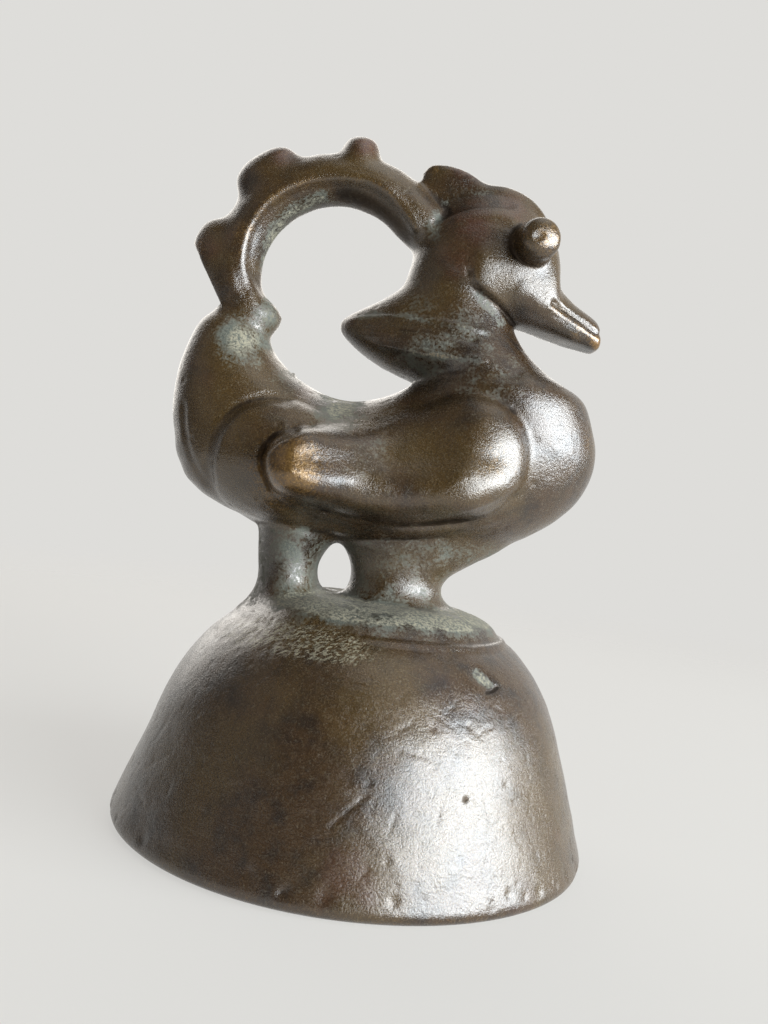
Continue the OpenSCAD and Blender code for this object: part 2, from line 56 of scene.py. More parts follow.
print("loaded", len(nodeNames), "CAD nodes")


# Where the photograph was taken from, in millimetres in the CAD frame

viewpoint = {
    "place": (-0.33, -95.3, 31.6),
    "roll": 7.6,  # degrees that the weight leans to the right in the picture
    "lens": 33.4,
}


# One skin over all the wax forms, as the casting has

skinSettings = {
    "voxel": 0.23,  # side of one face
    "weld": 0.05,  # how far the forms swell into each other before they join
    "polishShare": 0.5,  # for the forms that polish doesn't name
    "polishPasses": 36,
    "rim": (0.6, 2.2),  # heights between which the polish begins, so that the base keeps its lower edge
    "filletRings": 8,  # reach of a fillet, in faces
    "filletFade": 0.86,
    "filletMost": 0.8,
    "filletPasses": 34,
    "crispRings": 6,  # reach of the places that the polish spares, beside crisp joins
    "crispFade": 0.88,
    "crispShare": 0.85,
    "blendPasses": 160,
    "evenShare": 0.3,
    "evenPasses": 5,  # last passes over everything, against the steps of the faces
}

wings = ("left_wing", "right_wing")
lobes = ("left_rump_lobe", "right_rump_lobe")
beads = ("left_flank_bead", "right_flank_bead")
eyes = ("left_eye", "right_eye")
legs = ("rear_leg", "front_leg")
knobs = ("front_knob", "middle_knob", "rear_knob")
everything = tuple(nodeNames)

# How softly two forms run into each other; pairs that aren't named run together fully
softness = [
    (wings, everything, 0.03),
    (lobes, everything, 0.06),
    (beads, everything, 0.12),
    (eyes, everything, 0.08),
    (("head",), ("neck",), 0.16),
    (("base_dome",), ("plinth",), 0.50),
    (("base_dome", "plinth"), legs, 0.75),
    (("crest",), everything, 0.30),
    (("bill",), ("head",), 0.40),
    (("handle_foot",), ("tail",), 0.30),
    (("handle_root",), ("head",), 0.25),
    (("front_knob",), everything, 0.45),
    (("nape_tuft",), everything, 0.7),
]
# How much of its facets each form loses to the polish
polish = {"plinth": 0.4, "bill": 0.2, "crest": 0.3, "handle_arch": 0.3}
polish.update({n: 0.25 for n in (*knobs, *eyes, *beads)})


def waxForm(name):
    shell = bmesh.new()
    shell.from_mesh(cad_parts[name].data)
    bmesh.ops.remove_doubles(shell, verts=shell.verts, dist=2e-6)
    shell.normal_update()
    points = np.array([v.co[:] for v in shell.verts]) * perMetre
    normals = np.array([v.normal[:] for v in shell.verts])
    faces = [[v.index for v in f.verts] for f in shell.faces]
    shell.free()
    return points, normals, faces


def plainMesh(name, points, faces):
    mesh = bpy.data.meshes.new(name)
    mesh.from_pydata([tuple(p) for p in points], [], faces)
    mesh.update()
    return mesh


def evaluated(obj):
    depsgraph = bpy.context.evaluated_depsgraph_get()
    return bpy.data.meshes.new_from_object(obj.evaluated_get(depsgraph))


def dropObject(obj):
    mesh = obj.data
    bpy.data.objects.remove(obj)
    bpy.data.meshes.remove(mesh)


class Skin:
    def __init__(self, mesh):
        count = len(mesh.vertices)
        flat = np.empty(count * 3)
        mesh.vertices.foreach_get("co", flat)
        self.points = flat.reshape(-1, 3)
        corners = np.empty(len(mesh.loops), dtype=np.int32)
        mesh.loops.foreach_get("vertex_index", corners)
        self.quads = corners.reshape(-1, 4)
        pairs = np.empty(len(mesh.edges) * 2, dtype=np.int32)
        mesh.edges.foreach_get("vertices", pairs)
        self.edges = pairs.reshape(-1, 2)
        both = np.concatenate([self.edges, self.edges[:, ::-1]])
        order = np.argsort(both[:, 0], kind="stable")
        self.ends = both[order, 1]
        self.degree = np.bincount(both[:, 0], minlength=count)
        self.starts = np.concatenate([[0], np.cumsum(self.degree)[:-1]])

    def average(self, values):
        total = np.add.reduceat(values[self.ends], self.starts, axis=0)
        return total / (self.degree[:, None] if values.ndim > 1 else self.degree)

    def highest(self, values):
        return np.maximum(values, np.maximum.reduceat(values[self.ends], self.starts))

    def blurred(self, values, passes, share=0.5):
        out = values.copy()
        for _ in range(passes):
            out += share * (self.average(out) - out)
        return out

    def relax(self, share, passes):
        step = share[:, None] if isinstance(share, np.ndarray) else share
        for _ in range(passes):
            self.points += step * (self.average(self.points) - self.points)

    # smoothing that gives the forms back the size it took
    def polish(self, share, passes):
        before = self.points.copy()
        self.relax(share, passes)
        lost = before - self.points
        for _ in range(passes):
            lost += share[:, None] * (self.average(lost) - lost)
        self.points += lost

    def normals(self):
        a, b, c, d = (self.points[self.quads[:, k]] for k in range(4))
        across = np.cross(c - a, d - b)
        total = np.zeros_like(self.points)
        for k in range(4):
            for axis in range(3):
                total[:, axis] += np.bincount(self.quads[:, k], across[:, axis], len(total))
        return total / np.maximum(np.linalg.norm(total, axis=1), 1e-9)[:, None]

    def push(self, amount):
        self.points += self.normals() * amount[:, None]


def joinForms():
    allPoints, allFaces, owners, plain = [], [], [], []
    offset = 0
    for index, name in enumerate(nodeNames):
        points, normals, faces = waxForm(name)
        allPoints.append(points + normals * skinSettings["weld"])
        plain.append(points)
        allFaces += [[i + offset for i in f] for f in faces]
        owners += [index] * len(faces)
        offset += len(points)
    joined = bpy.data.objects.new("waxForms", plainMesh("waxForms", np.concatenate(allPoints), allFaces))
    bpy.context.scene.collection.objects.link(joined)
    remesh = joined.modifiers.new("oneSkin", "REMESH")
    remesh.mode = "VOXEL"
    remesh.voxel_size = skinSettings["voxel"]
    skin = Skin(evaluated(joined))
    dropObject(joined)
    tree = BVHTree.FromPolygons(np.concatenate(plain).tolist(), allFaces)
    return skin, tree, np.array(owners)


def nearestNode(tree, owners, points):
    return np.array([owners[tree.find_nearest(p)[2]] for p in points.tolist()])


skin, cadTree, faceOwners = joinForms()
pointNode = nearestNode(cadTree, faceOwners, skin.points)
print("joined skin", len(skin.points), "points")


# The picture's own grid: where a point is seen from the viewpoint, on the plane through the weight's axis.
# Both sides of the bird are laid on it, so a mark on the near flank is repeated on the far one.

def pictureGrid(points, mirrored=True):
    away = -viewpoint["place"][1]
    depth = -np.abs(points[:, 1]) if mirrored else points[:, 1]
    scale = away / (away + depth)
    eye = viewpoint["place"][2]
    return np.column_stack([points[:, 0] * scale, eye + (points[:, 2] - eye) * scale])


def smooth(low, high, values):
    t = np.clip((values - low) / (high - low), 0.0, 1.0)
    return t * t * (3.0 - 2.0 * t)


def curveThrough(points, steps=10):
    p = np.array([points[0], *points, points[-1]], dtype=float)
    out = []
    for i in range(1, len(p) - 2):
        for t in np.arange(steps) / steps:
            a, b, c, d = p[i - 1], p[i], p[i + 1], p[i + 2]
            out.append(0.5 * (2 * b + (c - a) * t + (2 * a - 5 * b + 4 * c - d) * t * t
                              + (3 * b - 3 * c + d - a) * t ** 3))
    out.append(p[-2])
    return np.array(out)


# Closeness to a curve, 1 on it and 0 from one width away, fading towards its ends

def strokeField(grid, points, width, taper=0.12):
    curve = curveThrough(points)
    low, high = curve.min(0) - width, curve.max(0) + width
    near = np.flatnonzero(((grid > low) & (grid < high)).all(1))
    best = np.full(len(near), 1e9)
    along = np.zeros(len(near))
    spots = grid[near]
    for i in range(len(curve) - 1):
        a, step = curve[i], curve[i + 1] - curve[i]
        t = np.clip(((spots - a) @ step) / max(step @ step, 1e-9), 0.0, 1.0)
        distance = np.linalg.norm(spots - a - t[:, None] * step, axis=1)
        closer = distance < best
        best[closer] = distance[closer]
        along[closer] = (i + t[closer]) / (len(curve) - 1)
    ends = smooth(0.0, taper, along) * smooth(0.0, taper, 1.0 - along) if taper else 1.0
    field = np.zeros(len(grid))
    field[near] = smooth(0.0, 1.0, 1.0 - best / width) * ends
    return field


def isNode(*names):
    wanted = [nodeNames.index(n) for n in names]
    return np.isin(pointNode, wanted).astype(float)


# Fillets where one form runs into another

wingJoin = {  # in the picture's grid
    "upper": (38.6, 40.4),  # heights over which the wing's upper edge melts into the back
    "upperFront": (4.5, 0.5),
    "upperRear": (-12.5, -9.5),
    "upperShare": 0.8,
    "front": (10.0, 13.0),
    "frontShare": 0.45,
    "between": ([(-8.5, 39.6), (-5.0, 39.6), (-1.0, 40.2), (2.6, 42.4)], 3.4, 0.2),  # points, width, taper
    "betweenShare": 0.85,
    "corner": ([(-11.2, 38.9), (-10.2, 39.1)], 1.6, 0.0),
    "cornerShare": 0.6,
}


def pairSoftness():
    table = np.ones((len(nodeNames), len(nodeNames)))
    for some, others, value in reversed(softness):
        for a in some:
            for b in others:
                i, j = nodeNames.index(a), nodeNames.index(b)
                table[i, j] = table[j, i] = value
    return table


def joinStrength(a, b):
    strength = pairSoftness()[pointNode[a], pointNode[b]]
    x, z = pictureGrid(skin.points[a]).T
    onWing = isNode(*wings) > 0
    upper = smooth(*wingJoin["upper"], z) * smooth(*wingJoin["upperFront"], x) * smooth(*wingJoin["upperRear"], x)
    front = smooth(*wingJoin["front"], x)
    melted = np.maximum(wingJoin["upperShare"] * upper, wingJoin["frontShare"] * front)
    return np.maximum(strength, melted * (onWing[a] | onWing[b]))


def filletForms():
    settings = skinSettings
    a, b = skin.edges[:, 0], skin.edges[:, 1]
    meeting = pointNode[a] != pointNode[b]
    a, b = a[meeting], b[meeting]
    strength = joinStrength(a, b)
    share, crisp = np.zeros(len(skin.points)), np.zeros(len(skin.points))
    for ends in (a, b):
        np.maximum.at(share, ends, strength)
        np.maximum.at(crisp, ends, 1.0 - strength)
    for _ in range(settings["filletRings"]):
        share = np.maximum(share, skin.highest(share) * settings["filletFade"])
    for _ in range(settings["crispRings"]):
        crisp = np.maximum(crisp, skin.highest(crisp) * settings["crispFade"])
    skin.relax(np.clip(skin.blurred(share, 4), 0.0, settings["filletMost"]), settings["filletPasses"])
    # between the wing's two ends its upper side and the back are one surface
    grid = pictureGrid(skin.points)
    between = wingJoin["betweenShare"] * strokeField(grid, *wingJoin["between"])
    skin.relax(between * isNode("body", "breast", *wings, *lobes), settings["blendPasses"])
    plain = np.array([polish.get(n, settings["polishShare"]) for n in nodeNames])[pointNode]
    rim = smooth(*settings["rim"], skin.points[:, 2])
    corner = wingJoin["cornerShare"] * strokeField(grid, *wingJoin["corner"])
    skin.relax(corner * isNode("body", *wings, *lobes), settings["filletPasses"])
    skin.polish(skin.blurred(plain * (1.0 - settings["crispShare"] * crisp) * rim, 3), settings["polishPasses"])
    skin.relax(settings["evenShare"], settings["evenPasses"])


filletForms()
print("filleted")


# Marks of the modelling tool, in the picture's grid: points, width, height (a negative one cuts in)

toolMarks = {
    "jaw": ([(4.6, 57.4), (5.1, 56.1), (6.1, 55.0), (7.2, 54.4), (8.35, 53.7), (9.5, 52.5),
             (10.0, 51.6)], 0.5, -0.18),
    "brow": ([(0.6, 60.6), (1.3, 61.6), (2.3, 62.5), (3.9, 63.3), (5.6, 63.7), (7.3, 63.8),
              (9.0, 63.6)], 0.55, -0.28),
    "skull": ([(2.4, 61.2), (4.0, 62.2), (5.8, 62.6), (7.6, 62.6), (9.2, 62.2)], 1.0, 0.16),
    "cheekPlane": ([(9.5, 55.6), (12.0, 54.4), (14.6, 53.0), (17.0, 51.8)], 1.8, 0.12),
    "mouth": ([(13.4, 54.9), (14.5, 54.3), (16.5, 53.3), (19.0, 51.9)], 0.4, -0.34),
    "mouthLip": ([(13.0, 54.2), (14.2, 53.7), (16.2, 52.7), (18.4, 51.5)], 0.4, 0.10),
    "collarTop": ([(-6.8, 50.1), (-3.0, 51.0), (0.0, 51.2), (4.0, 51.1), (8.0, 50.8)], 0.45, 0.20),
    "underCollar": ([(-5.6, 49.3), (-3.0, 49.9), (0.0, 50.1), (4.0, 50.0), (7.0, 49.7)], 0.6, -0.20),
    "collarLow": ([(-3.4, 48.2), (0.0, 48.0), (4.0, 47.9), (8.5, 48.2)], 0.5, 0.17),
    "throatHollow": ([(-2.2, 46.8), (1.0, 46.5), (5.0, 46.5), (9.0, 46.8), (12.0, 47.4)], 1.3, -0.25),
    "wingRear": ([(-9.6, 38.8), (-10.7, 38.5), (-12.3, 37.5), (-13.4, 36.1), (-13.3, 34.4), (-11.9, 31.9),
                  (-9.3, 30.4), (-5.5, 29.8)], 0.8, -0.22),
    "wingLow": ([(-7.0, 30.0), (-2.4, 29.7), (4.9, 30.9), (10.1, 33.2), (13.3, 35.9)], 0.7, -0.23),
    "wingFront": ([(13.9, 40.0), (13.4, 41.0), (10.9, 44.0), (7.6, 45.2), (4.7, 44.5)], 0.8, -0.08),
    "flankGroove": ([(-9.5, 28.9), (-6.0, 28.6), (-3.0, 28.5), (2.0, 29.1), (7.0, 30.1)], 0.6, -0.17),
    "lobeValley": ([(-10.4, 41.2), (-13.0, 41.5), (-15.0, 40.9), (-16.7, 39.7), (-17.9, 37.6), (-18.4, 35.0),
                    (-18.2, 32.8), (-17.5, 31.0)], 0.9, -0.28),
    "tailFacet": ([(-21.9, 40.4), (-21.5, 37.7), (-20.8, 35.6), (-19.9, 34.0), (-18.0, 31.5)], 0.5, -0.14),
    "backBurr": ([(-11.4, 44.3), (-10.8, 44.5), (-10.0, 44.3)], 0.7, 0.4),
}

faceForms = {
    "cheekLift": 0.4,
    "cheekTop": (60.6, 57.6),  # where the lift begins and is full, in the picture's grid
    "cheekFront": (13.6, 6.4),
    "cheekRear": (4.4, 6.2),
    "dimple": ([(11.3, 61.1), (11.6, 61.2)], 0.75, 0.0),  # on the eye's end
    "dimpleDepth": 0.17,
}

ringForms = {
    "ridge": [(-15.6, 50.5), (-17.6, 54.0), (-17.7, 57.2), (-16.3, 60.5), (-13.6, 62.9), (-10.5, 64.0),
              (-7.0, 64.4), (-4.0, 63.4), (-1.8, 61.4), (-0.6, 59.8)],
    "ridgeWidth": 0.9,
    "ridgeLift": 0.26,
    "spurTip": (-22.6, 55.6),  # the rear spur is cut off straight from here to its heel
    "spurHeel": (-19.1, 50.0),
}


def cutLines(grid):
    amount = np.zeros(len(skin.points))
    for points, width, height in toolMarks.values():
        amount += height * strokeField(grid, points, width)
    cheek = skin.blurred(isNode("head"), 4) * smooth(*faceForms["cheekTop"], grid[:, 1])
    cheek *= smooth(*faceForms["cheekFront"], grid[:, 0]) * smooth(*faceForms["cheekRear"], grid[:, 0])
    dimple = isNode(*eyes) * strokeField(grid, *faceForms["dimple"])
    skin.push(amount + faceForms["cheekLift"] * cheek - faceForms["dimpleDepth"] * dimple)


def shapeRing(grid):
    # the ring's near and far faces carry a ridge with a bevel on each side
    handle = isNode("handle_arch", "handle_foot", "handle_root")
    ridge = strokeField(grid, ringForms["ridge"], ringForms["ridgeWidth"], 0.05)
    skin.push(ringForms["ridgeLift"] * ridge * skin.blurred(handle, 3))
    tip, heel = np.array(ringForms["spurTip"]), np.array(ringForms["spurHeel"])
    out = np.array((heel[1] - tip[1], tip[0] - heel[0])) / np.linalg.norm(heel - tip)
    spur = skin.blurred(handle + isNode("rear_knob"), 2).clip(0, 1)
    beyond = np.maximum(0.0, (skin.points[:, [0, 2]] - tip) @ out) * spur
    skin.points[:, [0, 2]] -= beyond[:, None] * out


def cutToolMarks():
    grid = pictureGrid(skin.points)
    cutLines(grid)
    shapeRing(grid)


cutToolMarks()
print("tool marks cut")


# Small class that writes node trees as plain expressions

class Wire:
    def __init__(self, graph, socket):
        self.graph, self.socket = graph, socket

    def math(self, operation, *others):
        inputs = {i: v for i, v in enumerate((self, *others))}
        return self.graph.add("ShaderNodeMath", {"operation": operation}, inputs)

    def __add__(self, other):
        return self.math("ADD", other)

    def __mul__(self, other):
        return self.math("MULTIPLY", other)

    def __sub__(self, other):
        return self.math("SUBTRACT", other)

    def __truediv__(self, other):
        return self.math("DIVIDE", other)

    def __rsub__(self, other):
        return self.graph.add("ShaderNodeMath", {"operation": "SUBTRACT"}, {0: other, 1: self})

    def __neg__(self):
        return self.math("MULTIPLY", -1.0)

    __radd__, __rmul__ = __add__, __mul__

    def clamped(self):
        return self.graph.add("ShaderNodeClamp", {}, {"Value": self})

    def ramp(self, low, high):
        return self.graph.add("ShaderNodeMapRange", {"interpolation_type": "SMOOTHSTEP"},
                              {"Value": self, "From Min": low, "From Max": high})


class Graph:
    def __init__(self, tree):
        self.tree = tree

    def add(self, kind, settings, sockets, output=0):
        node = self.tree.nodes.new(kind)
        for key, value in settings.items():
            setattr(node, key, value)
        for key, value in sockets.items():
            if isinstance(value, Wire):
                self.tree.links.new(value.socket, node.inputs[key])
            else:
                node.inputs[key].default_value = value
        if output is None:
            return node
        return Wire(self, node.outputs[output])

    def mix(self, factor, a, b):
        sockets = {0: factor, 6: a, 7: b}
        return self.add("ShaderNodeMix", {"data_type": "RGBA"}, sockets, 2)

    def fact(self, name):
        return self.add("ShaderNodeAttribute", {"attribute_name": name}, {}, "Fac")

    def mapped(self, place, **changes):
        return self.add("ShaderNodeMapping", {}, {"Vector": place, **changes})

    def noise(self, place, scale, detail, roughness):
        sockets = {"Vector": place, "Scale": scale, "Detail": detail, "Roughness": roughness}
        return self.add("ShaderNodeTexNoise", {}, sockets)


def colour(red, green, blue):
    linear = [c / 255 / 12.92 if c <= 10 else ((c / 255 + 0.055) / 1.055) ** 2.4 for c in (red, green, blue)]
    return (*linear, 1.0)


def newMaterial(name):
    material = bpy.data.materials.new(name)
    material.use_nodes = True
    material.node_tree.nodes.clear()
    return material, Graph(material.node_tree)


bronzeLook = {
    "dark": colour(32, 22, 14),
    "brown": colour(62, 43, 22),
    "olive": colour(81, 62, 29),
    "red": colour(74, 40, 28),
    "gold": colour(158, 120, 64),
    "green": colour(68, 78, 72),
    "dust": colour(152, 146, 124),
    "roughness": 0.26,
    "metal": 0.15,
    "coat": 0.30,
    "coatRoughness": 0.22,
    "grain": 0.34,  # strength of the fine casting grain
    "grainDepth": 0.00035,  # metres
    "broad": (90.0, 4.0, 0.55),  # each noise: scale, detail, roughness
    "flush": (150.0, 2.0, 0.55),
    "patches": (420.0, 5.0, 0.66),
    "grit": (3600.0, 4.0, 0.65),
    "speck": (7500.0, 2.0, 0.6),
    "files": (5200.0, 2.0, 0.55),
    "fileTurn": (0.0, 0.75, 0.0),
    "fileStretch": (0.16, 1.0, 1.0),
    "scratches": (240.0, 3.0, 0.5),
    "scratchTurn": (0.3, 0.5, 0.9),
    "scratchStretch": (1.0, 9.0, 9.0),
}


def bronzeMaterial():
    look = bronzeLook
    material, g = newMaterial("patinatedBronze")
    place = g.add("ShaderNodeTexCoord", {}, {}, "Object")
    hollow, wear, green, filed, ruddy = (g.fact(n) for n in ("hollow", "wear", "green", "filed", "ruddy"))

    noises = ("broad", "flush", "patches", "grit", "speck")
    broad, flush, patches, grit, speck = (g.noise(place, *look[n]) for n in noises)
    turned = g.mapped(place, Rotation=look["fileTurn"])
    files = g.noise(g.mapped(turned, Scale=look["fileStretch"]), *look["files"])
    nicks = files.ramp(0.49, 0.60) * (filed * 1.5 + (grit - 0.5) * 1.2 - 0.18).ramp(0.0, 0.6)
    drawn = g.mapped(place, Rotation=look["scratchTurn"], Scale=look["scratchStretch"])
    scratches = g.noise(drawn, *look["scratches"]).ramp(0.40, 0.62)

    tone = g.mix(patches.ramp(0.30, 0.60), look["dark"], look["brown"])
    tone = g.mix(broad.ramp(0.40, 0.66) * 0.75, tone, look["olive"])
    flushed = (flush.ramp(0.60, 0.80) * 0.5 + ruddy * patches.ramp(0.25, 0.6)).clamped()
    tone = g.mix(flushed, tone, look["red"])
    crust = (green * 1.1 + hollow * 0.20 + (patches - 0.5) * 2.2 + (grit - 0.5) * 1.8 - 0.46).ramp(0.0, 0.8)
    dusty = grit.ramp(0.36, 0.60) * patches.ramp(0.28, 0.52) * (0.20 + 0.80 * green.ramp(0.82, 1.0))
    tone = g.mix(crust * 0.85, tone, g.mix(dusty, look["green"], look["dust"]))
    rubbed = (wear + (patches - 0.5) * 0.7 + (grit - 0.5) * 2.0 - 0.26).ramp(0.0, 1.0)
    tone = g.mix(rubbed * 0.70, tone, look["gold"])
    # darkening of hollows and pits, together with the painted shade under the ring's top
    dirtAndShade = (hollow * 1.1 + (grit - 0.5) * 0.6 - crust * 0.5).ramp(0.25, 0.95)
    tone = g.mix(dirtAndShade * 0.65, tone, look["dark"])
    tone = g.mix(speck.ramp(0.52, 0.70) * grit.ramp(0.40, 0.62) * 0.22, tone, look["dust"])
    tone = g.mix(speck.ramp(0.48, 0.32) * 0.5, tone, look["dark"])
    tone = g.mix(nicks * 0.75, tone, look["dust"])

    rough = look["roughness"] + crust * 0.56 - rubbed * 0.04 + dirtAndShade * 0.15
    rough = rough + (grit - 0.5) * 0.24 + (speck - 0.5) * 0.24
    metal = (look["metal"] + rubbed * 0.35 - crust * 0.3 + dirtAndShade * 0.6).clamped()

    height = (grit * 0.48 + speck * 0.34) * (1.0 - rubbed * 0.6) + scratches * 0.06 - crust * 0.2 + nicks * 1.3
    bump = g.add("ShaderNodeBump", {}, {"Strength": look["grain"], "Distance": look["grainDepth"], "Height": height},
                 "Normal")
    shader = g.add("ShaderNodeBsdfPrincipled", {}, {
        "Base Color": tone, "Roughness": rough.clamped(), "Metallic": metal, "Normal": bump,
        "Specular IOR Level": 1.0, "Coat Weight": look["coat"] * (1.0 - crust) * (1.0 - dirtAndShade),
        "Coat Roughness": look["coatRoughness"],
    })
    g.add("ShaderNodeOutputMaterial", {}, {"Surface": shader}, None)
    return material


bronze = bronzeMaterial()


# Unevenness of the wax, of file and wear on the base

def wobble(points, wavelength, seed, waves=14):
    dice = np.random.default_rng(seed)
    total = np.zeros(len(points))
    for _ in range(waves):
        way = dice.normal(size=3)
        way *= 2 * math.pi / wavelength / np.linalg.norm(way) * dice.uniform(0.7, 1.35)
        total += np.sin(points @ way + dice.uniform(0, 2 * math.pi))
    return total / math.sqrt(waves)


unevenness = {
    "slow": (10.0, 0.060),  # wavelength and height
    "quick": (3.6, 0.014),
    "grain": (1.4, 0.005),
}

domeMarks = {
    "rim": (12.9, 20.2, 0.75, 0.30),  # radius, height, width, how far it stands up
    "fileStrokes": 60,
    "fileWidth": 0.30,
    "fileDepth": 0.05,
    "scratches": 46,  # fine ones over the whole front
    "scratchWidth": 0.28,
    "scratchDepth": 0.035,
    "gouges": [
        ([(-2.0, -1.0), (0.0, 1.4), (2.0, 3.5)], 0.4, -0.09),
        ([(9.0, 1.0), (9.1, 3.5)], 0.35, -0.05),
        ([(1.5, -5.5), (3.0, -4.0)], 0.35, -0.06),
        ([(-13.0, 2.0), (-8.0, 3.4)], 0.3, -0.04),
        ([(3.0, 8.5), (9.5, 7.2)], 0.3, -0.04),
        ([(13.0, 5.5), (14.5, 1.5)], 0.3, -0.04),
    ],
    "patch": ([(10.9, 16.8), (11.6, 16.3), (12.4, 15.8)], 1.1, -0.18),
    "hole": ([(12.3, 15.0), (12.9, 15.3), (13.2, 15.7)], 0.4, -0.20),
    "pit": ([(11.4, 4.0), (11.6, 4.2)], 0.42, -0.13),
    "rimChips": (34, 0.7, 0.10),  # number, width, depth
    "filed": ([(-17.5, 17.2), (-13.0, 17.9), (-7.0, 17.7), (-2.0, 17.4), (3.0, 17.2)], 2.6, 0.42),
}


def fileField(grid):
    # the patch of the shoulder that a file has roughened
    return strokeField(grid, *domeMarks["filed"])


def unevenSurface():
    amount = sum(h * wobble(skin.points, w, 11 + i) for i, (w, h) in enumerate(unevenness.values()))
    foot = smooth(0.0, 1.2, skin.points[:, 2])  # the face it stands on stays flat
    skin.push(amount * foot)


def markDome():
    grid = pictureGrid(skin.points, mirrored=False)
    front = skin.blurred(isNode("base_dome", "plinth") * (skin.points[:, 1] < 0), 2)
    amount = np.zeros(len(skin.points))
    for points, width, depth in domeMarks["gouges"]:
        amount += depth * strokeField(grid, points, width, 0.3)
    for points, width, depth in (domeMarks["patch"], domeMarks["hole"], domeMarks["pit"]):
        amount += depth * strokeField(grid, points, width, 0.0)
    dice = np.random.default_rng(5)
    rimChips = np.zeros(len(skin.points))
    for _ in range(domeMarks["scratches"]):
        start = np.array((dice.uniform(-21.0, 20.0), dice.uniform(-6.0, 15.0)))
        slant, length = dice.normal(0.7, 0.7), dice.uniform(1.0, 4.0)
        end = start + length * np.array((math.cos(slant), math.sin(slant)))
        amount -= domeMarks["scratchDepth"] * strokeField(grid, [start, end], domeMarks["scratchWidth"], 0.3)
    filed = np.zeros(len(skin.points))
    for _ in range(domeMarks["fileStrokes"]):
        x, z = dice.uniform(-17.0, -0.5), dice.normal(17.6, 0.9)
        length, slant = dice.uniform(0.9, 2.2), dice.normal(0.95, 0.2)
        end = (x + length * math.cos(slant), z + length * math.sin(slant) * 0.8)
        filed += strokeField(grid, [(x, z), end], domeMarks["fileWidth"], 0.3)
    amount -= domeMarks["fileDepth"] * np.minimum(filed, 1.3)
    chips, width, depth = domeMarks["rimChips"]
    rimRadius = cadHigh[0] * perMetre
    alongRim = np.arctan2(skin.points[:, 1], skin.points[:, 0]) * rimRadius
    for _ in range(chips):
        at, level, size = dice.uniform(-math.pi, math.pi), dice.uniform(0.8, 2.4), width * dice.uniform(0.6, 1.5)
        away = np.hypot(alongRim - at * rimRadius, skin.points[:, 2] - level)
        rimChips -= depth * smooth(1.0, 0.0, away / size)
    radius, height, width, lift = domeMarks["rim"]
    off = np.hypot(np.hypot(skin.points[:, 0], skin.points[:, 1]) - radius, skin.points[:, 2] - height)
    ring = smooth(1.0, 0.0, off / width) * (1.0 - 0.9 * fileField(grid) * front)
    skin.push(amount * front + lift * ring + rimChips * isNode("base_dome"))


# Small pits of the casting, scattered over the skin by geometry nodes

pitLayers = [  # least spacing, density per square millimetre, radius, depth, seed
    (1.3, 0.30, 0.34, 0.035, 3),
    (3.2, 0.06, 0.55, 0.060, 8),
]


def pitTree():
    tree = bpy.data.node_groups.new("castingPits", "GeometryNodeTree")
    sockets = {}
    for name, kind in (("Skin", "Geometry"), ("Spacing", "Float"), ("Density", "Float"), ("Radius", "Float"),
                       ("Depth", "Float"), ("Seed", "Int"), ("Metal", "Material")):
        sockets[name] = tree.interface.new_socket(name, in_out="INPUT", socket_type="NodeSocket" + kind).identifier
    tree.interface.new_socket("Skin", in_out="OUTPUT", socket_type="NodeSocketGeometry")
    g = Graph(tree)
    given = g.add("NodeGroupInput", {}, {}, None)
    value = {o.name: Wire(g, o) for o in given.outputs if o.name in sockets}
    share = g.add("GeometryNodeInputNamedAttribute", {"data_type": "FLOAT"}, {"Name": "pitted"}, "Attribute")
    spots = g.add("GeometryNodeDistributePointsOnFaces", {"distribute_method": "POISSON"}, {
        "Mesh": value["Skin"], "Distance Min": value["Spacing"], "Density Max": value["Density"],
        "Density Factor": share, "Seed": value["Seed"]}, "Points")
    distance = g.add("GeometryNodeProximity", {"target_element": "POINTS"}, {0: spots}, "Distance")
    inside = 1.0 - (distance / value["Radius"]).ramp(0.0, 1.0)
    normal = g.add("GeometryNodeInputNormal", {}, {}, "Normal")
    inward = g.add("ShaderNodeVectorMath", {"operation": "SCALE"},
                   {"Vector": normal, "Scale": -(inside * value["Depth"])}, "Vector")
    marked = g.add("GeometryNodeStoreNamedAttribute", {"data_type": "FLOAT", "domain": "POINT"},
                   {"Geometry": value["Skin"], "Name": "pit", "Value": inside})
    dented = g.add("GeometryNodeSetPosition", {}, {"Geometry": marked, "Offset": inward})
    real = g.add("GeometryNodeRealizeInstances", {}, {"Geometry": dented})
    done = g.add("GeometryNodeSetMaterial", {}, {"Geometry": real, "Material": value["Metal"]})
    g.add("NodeGroupOutput", {}, {"Skin": done}, None)
    return tree, sockets


def castPits():
    tree, sockets = pitTree()
    share = 1.0 - isNode("bill", *eyes, *beads, *knobs, "crest")
    share = skin.blurred(share, 6) * smooth(0.8, 2.0, skin.points[:, 2])
    pits = np.zeros(len(skin.points))
    for spacing, density, radius, depth, seed in pitLayers:
        mesh = plainMesh("pittedSkin", skin.points, skin.quads.tolist())
        mesh.attributes.new("pitted", "FLOAT", "POINT").data.foreach_set("value", share.astype(np.float32))
        holder = bpy.data.objects.new("pittedSkin", mesh)
        bpy.context.scene.collection.objects.link(holder)
        scatter = holder.modifiers.new("castingPits", "NODES")
        scatter.node_group = tree
        given = {"Spacing": spacing, "Density": density, "Radius": radius, "Depth": depth, "Seed": seed,
                 "Metal": bronze}
        for name, value in given.items():
            scatter[sockets[name]] = value
        dented = evaluated(holder)
        flat = np.empty(len(dented.vertices) * 3)
        dented.vertices.foreach_get("co", flat)
        skin.points = flat.reshape(-1, 3)
        inside = np.empty(len(dented.vertices), dtype=np.float32)
        dented.attributes["pit"].data.foreach_get("value", inside)
        pits = np.maximum(pits, inside)
        holder.modifiers.remove(scatter)
        dropObject(holder)
        bpy.data.meshes.remove(dented)
    return pits


unevenSurface()
markDome()
pits = castPits()
print("surface worked")
